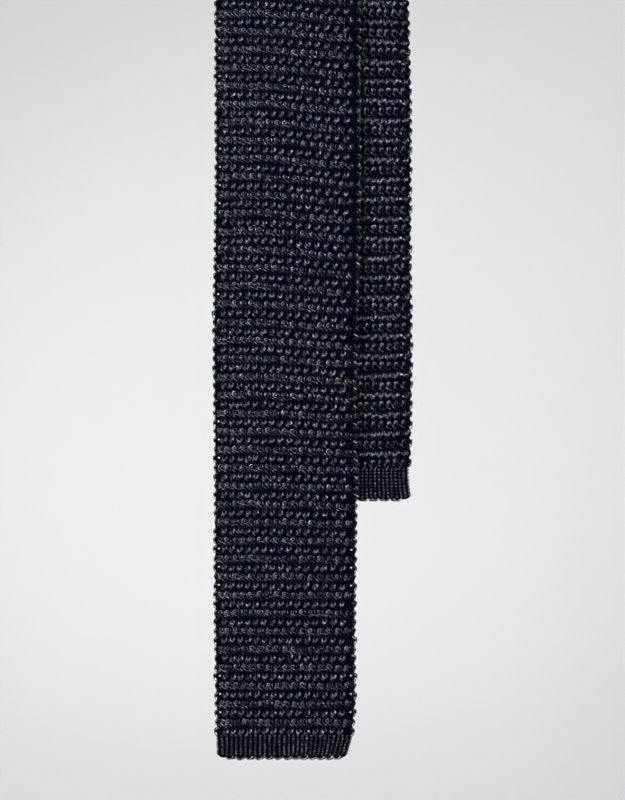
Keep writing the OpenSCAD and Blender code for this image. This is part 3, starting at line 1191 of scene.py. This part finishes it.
def label(name, low, high, thick, material, curl=0.0):
    """A rippled strip of tape between two corners, which can curl out towards its lower edge."""
    deselect()
    size_x, size_z = high.x - low.x, high.z - low.z
    bpy.ops.mesh.primitive_grid_add(x_subdivisions=24, y_subdivisions=16, size=1)
    made = bpy.context.object
    made.name = name
    bpy.ops.object.mode_set(mode="EDIT")
    bpy.ops.mesh.select_all(action="SELECT")
    bpy.ops.transform.resize(value=(size_x, size_z, 1))
    bpy.ops.object.mode_set(mode="OBJECT")
    for point in made.data.vertices:
        x, z = point.co.x, point.co.y
        share = 0.5 - z / size_z
        ripple = 0.10 * MM * math.sin(x / 0.0045) * math.sin(z / 0.004 + 1)
        y = low.y + LABEL_LIFT + thick / 2 + ripple + curl * share ** 2
        point.co = ((low.x + high.x) / 2 + x, y, (low.z + high.z) / 2 + z)
    solid = made.modifiers.new("thick", "SOLIDIFY")
    solid.thickness = thick
    solid.offset = 0
    edge = made.modifiers.new("edge", "BEVEL")
    edge.width = thick * 0.3
    edge.segments = 2
    for modifier in ("thick", "edge"):
        bpy.ops.object.modifier_apply(modifier=modifier)
    finish_skin(made, material)
    return made


low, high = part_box("maker_label")
maker = label("maker_label_woven", low, high, WOVEN_T, label_weave)
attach(maker, "front_end")
edge_x = np.arange(low.x + 1.5 * MM, high.x - MM, 3.0 * MM)
edge_z = np.arange(low.z + 1.5 * MM, high.z - MM, 3.0 * MM)
y = high.y + LABEL_LIFT + THREAD_LIFT
hem_points = [(x, y, z) for x in edge_x for z in (low.z + 0.3 * MM, high.z - 0.3 * MM)]
side_points = [(x, y, z) for z in edge_z for x in (low.x + 0.3 * MM, high.x - 0.3 * MM)]
ways = [(0.35, 0, 0.94)] * len(hem_points) + [(0.94, 0, 0.35)] * len(side_points)
maker_thread = staples(
    "maker_label_thread", hem_points + side_points, ways, (0, 1, 0), "front_end", 82, 0.75
)
low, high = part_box("care_label_heading")
care_heading = label("care_label_top", low, high, SATIN_T, label_satin)
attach(care_heading, "front_end")
xs = np.arange(low.x + 1.2 * MM, high.x - 0.5 * MM, 2.2 * MM)
y = high.y + LABEL_LIFT + THREAD_LIFT
spots = [(x, y, (low.z + high.z) / 2) for x in xs]
care_thread = staples("care_label_thread", spots, (1, 0, 0), (0, 1, 0), "front_end", 83, 0.8)
heading_low = low.z
low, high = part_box("care_label")
high = Vector((high.x, high.y, heading_low))
low = Vector((low.x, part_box("care_label_heading")[0].y, low.z))
care_flap = label("care_label_flap", low, high, SATIN_T, label_satin, 1.3 * MM)
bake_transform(care_flap)

# %% [markdown]
# ## What stands for what
#
# The knitting is a sheet that was folded to a tube. The pieces of each leg are gathered in lists by
# the ground skin they lie on. Each solid of the CAD model is hidden and replaced by the piece that
# shows in its place.

for leg in LEGS:
    own = bump_pieces[leg.name] + seam_pieces[leg.name]
    upper = [p for p in own if "_bar_" in p.name or "_neck_" in p.name]
    lower = [p for p in own if p not in upper]
    lower += [made[leg.name] for made in (hem_skins, hem_knits, tacks, slips)]
    if leg is front:
        lower += [keeper_band, keeper_knit, keeper_thread, maker, maker_thread]
        lower += [care_heading, care_thread]

# %% Replace the solids
STANDS_FOR = {
    grounds["front", "upper"]: ["neck_band", "front_upper"],
    grounds["tail", "upper"]: ["tail_upper"],
    seam_pieces["front"][0]: ["neck_seam"],
    keeper_band: ["keeper_loop"],
    keeper_thread: ["keeper_stitches"],
    maker: ["maker_label"],
    maker_thread: ["maker_label_stitches"],
    care_heading: ["care_label_heading"],
    care_thread: ["care_label_stitches"],
    care_flap: ["care_label"],
}
for name in ("front", "tail"):
    STANDS_FOR[grounds[name, "lower"]] = [f"{name}_blade"]
    STANDS_FOR[seam_pieces[name][1]] = [f"{name}_upper_seam"]
    STANDS_FOR[seam_pieces[name][4]] = [f"{name}_blade_seam"]
    STANDS_FOR[tacks[name]] = [f"{name}_bar_tack"]
    STANDS_FOR[hem_knits[name]] = [f"{name}_hem_band"]
    STANDS_FOR[hem_skins[name]] = [f"{name}_hem_facing"]
    STANDS_FOR[slips[name]] = [f"{name}_hem_stitches"]
for piece, nodes in STANDS_FOR.items():
    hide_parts(*nodes)

# %% Put the pattern stitches away and finish
for unit in UNITS:
    bpy.data.objects.remove(unit)
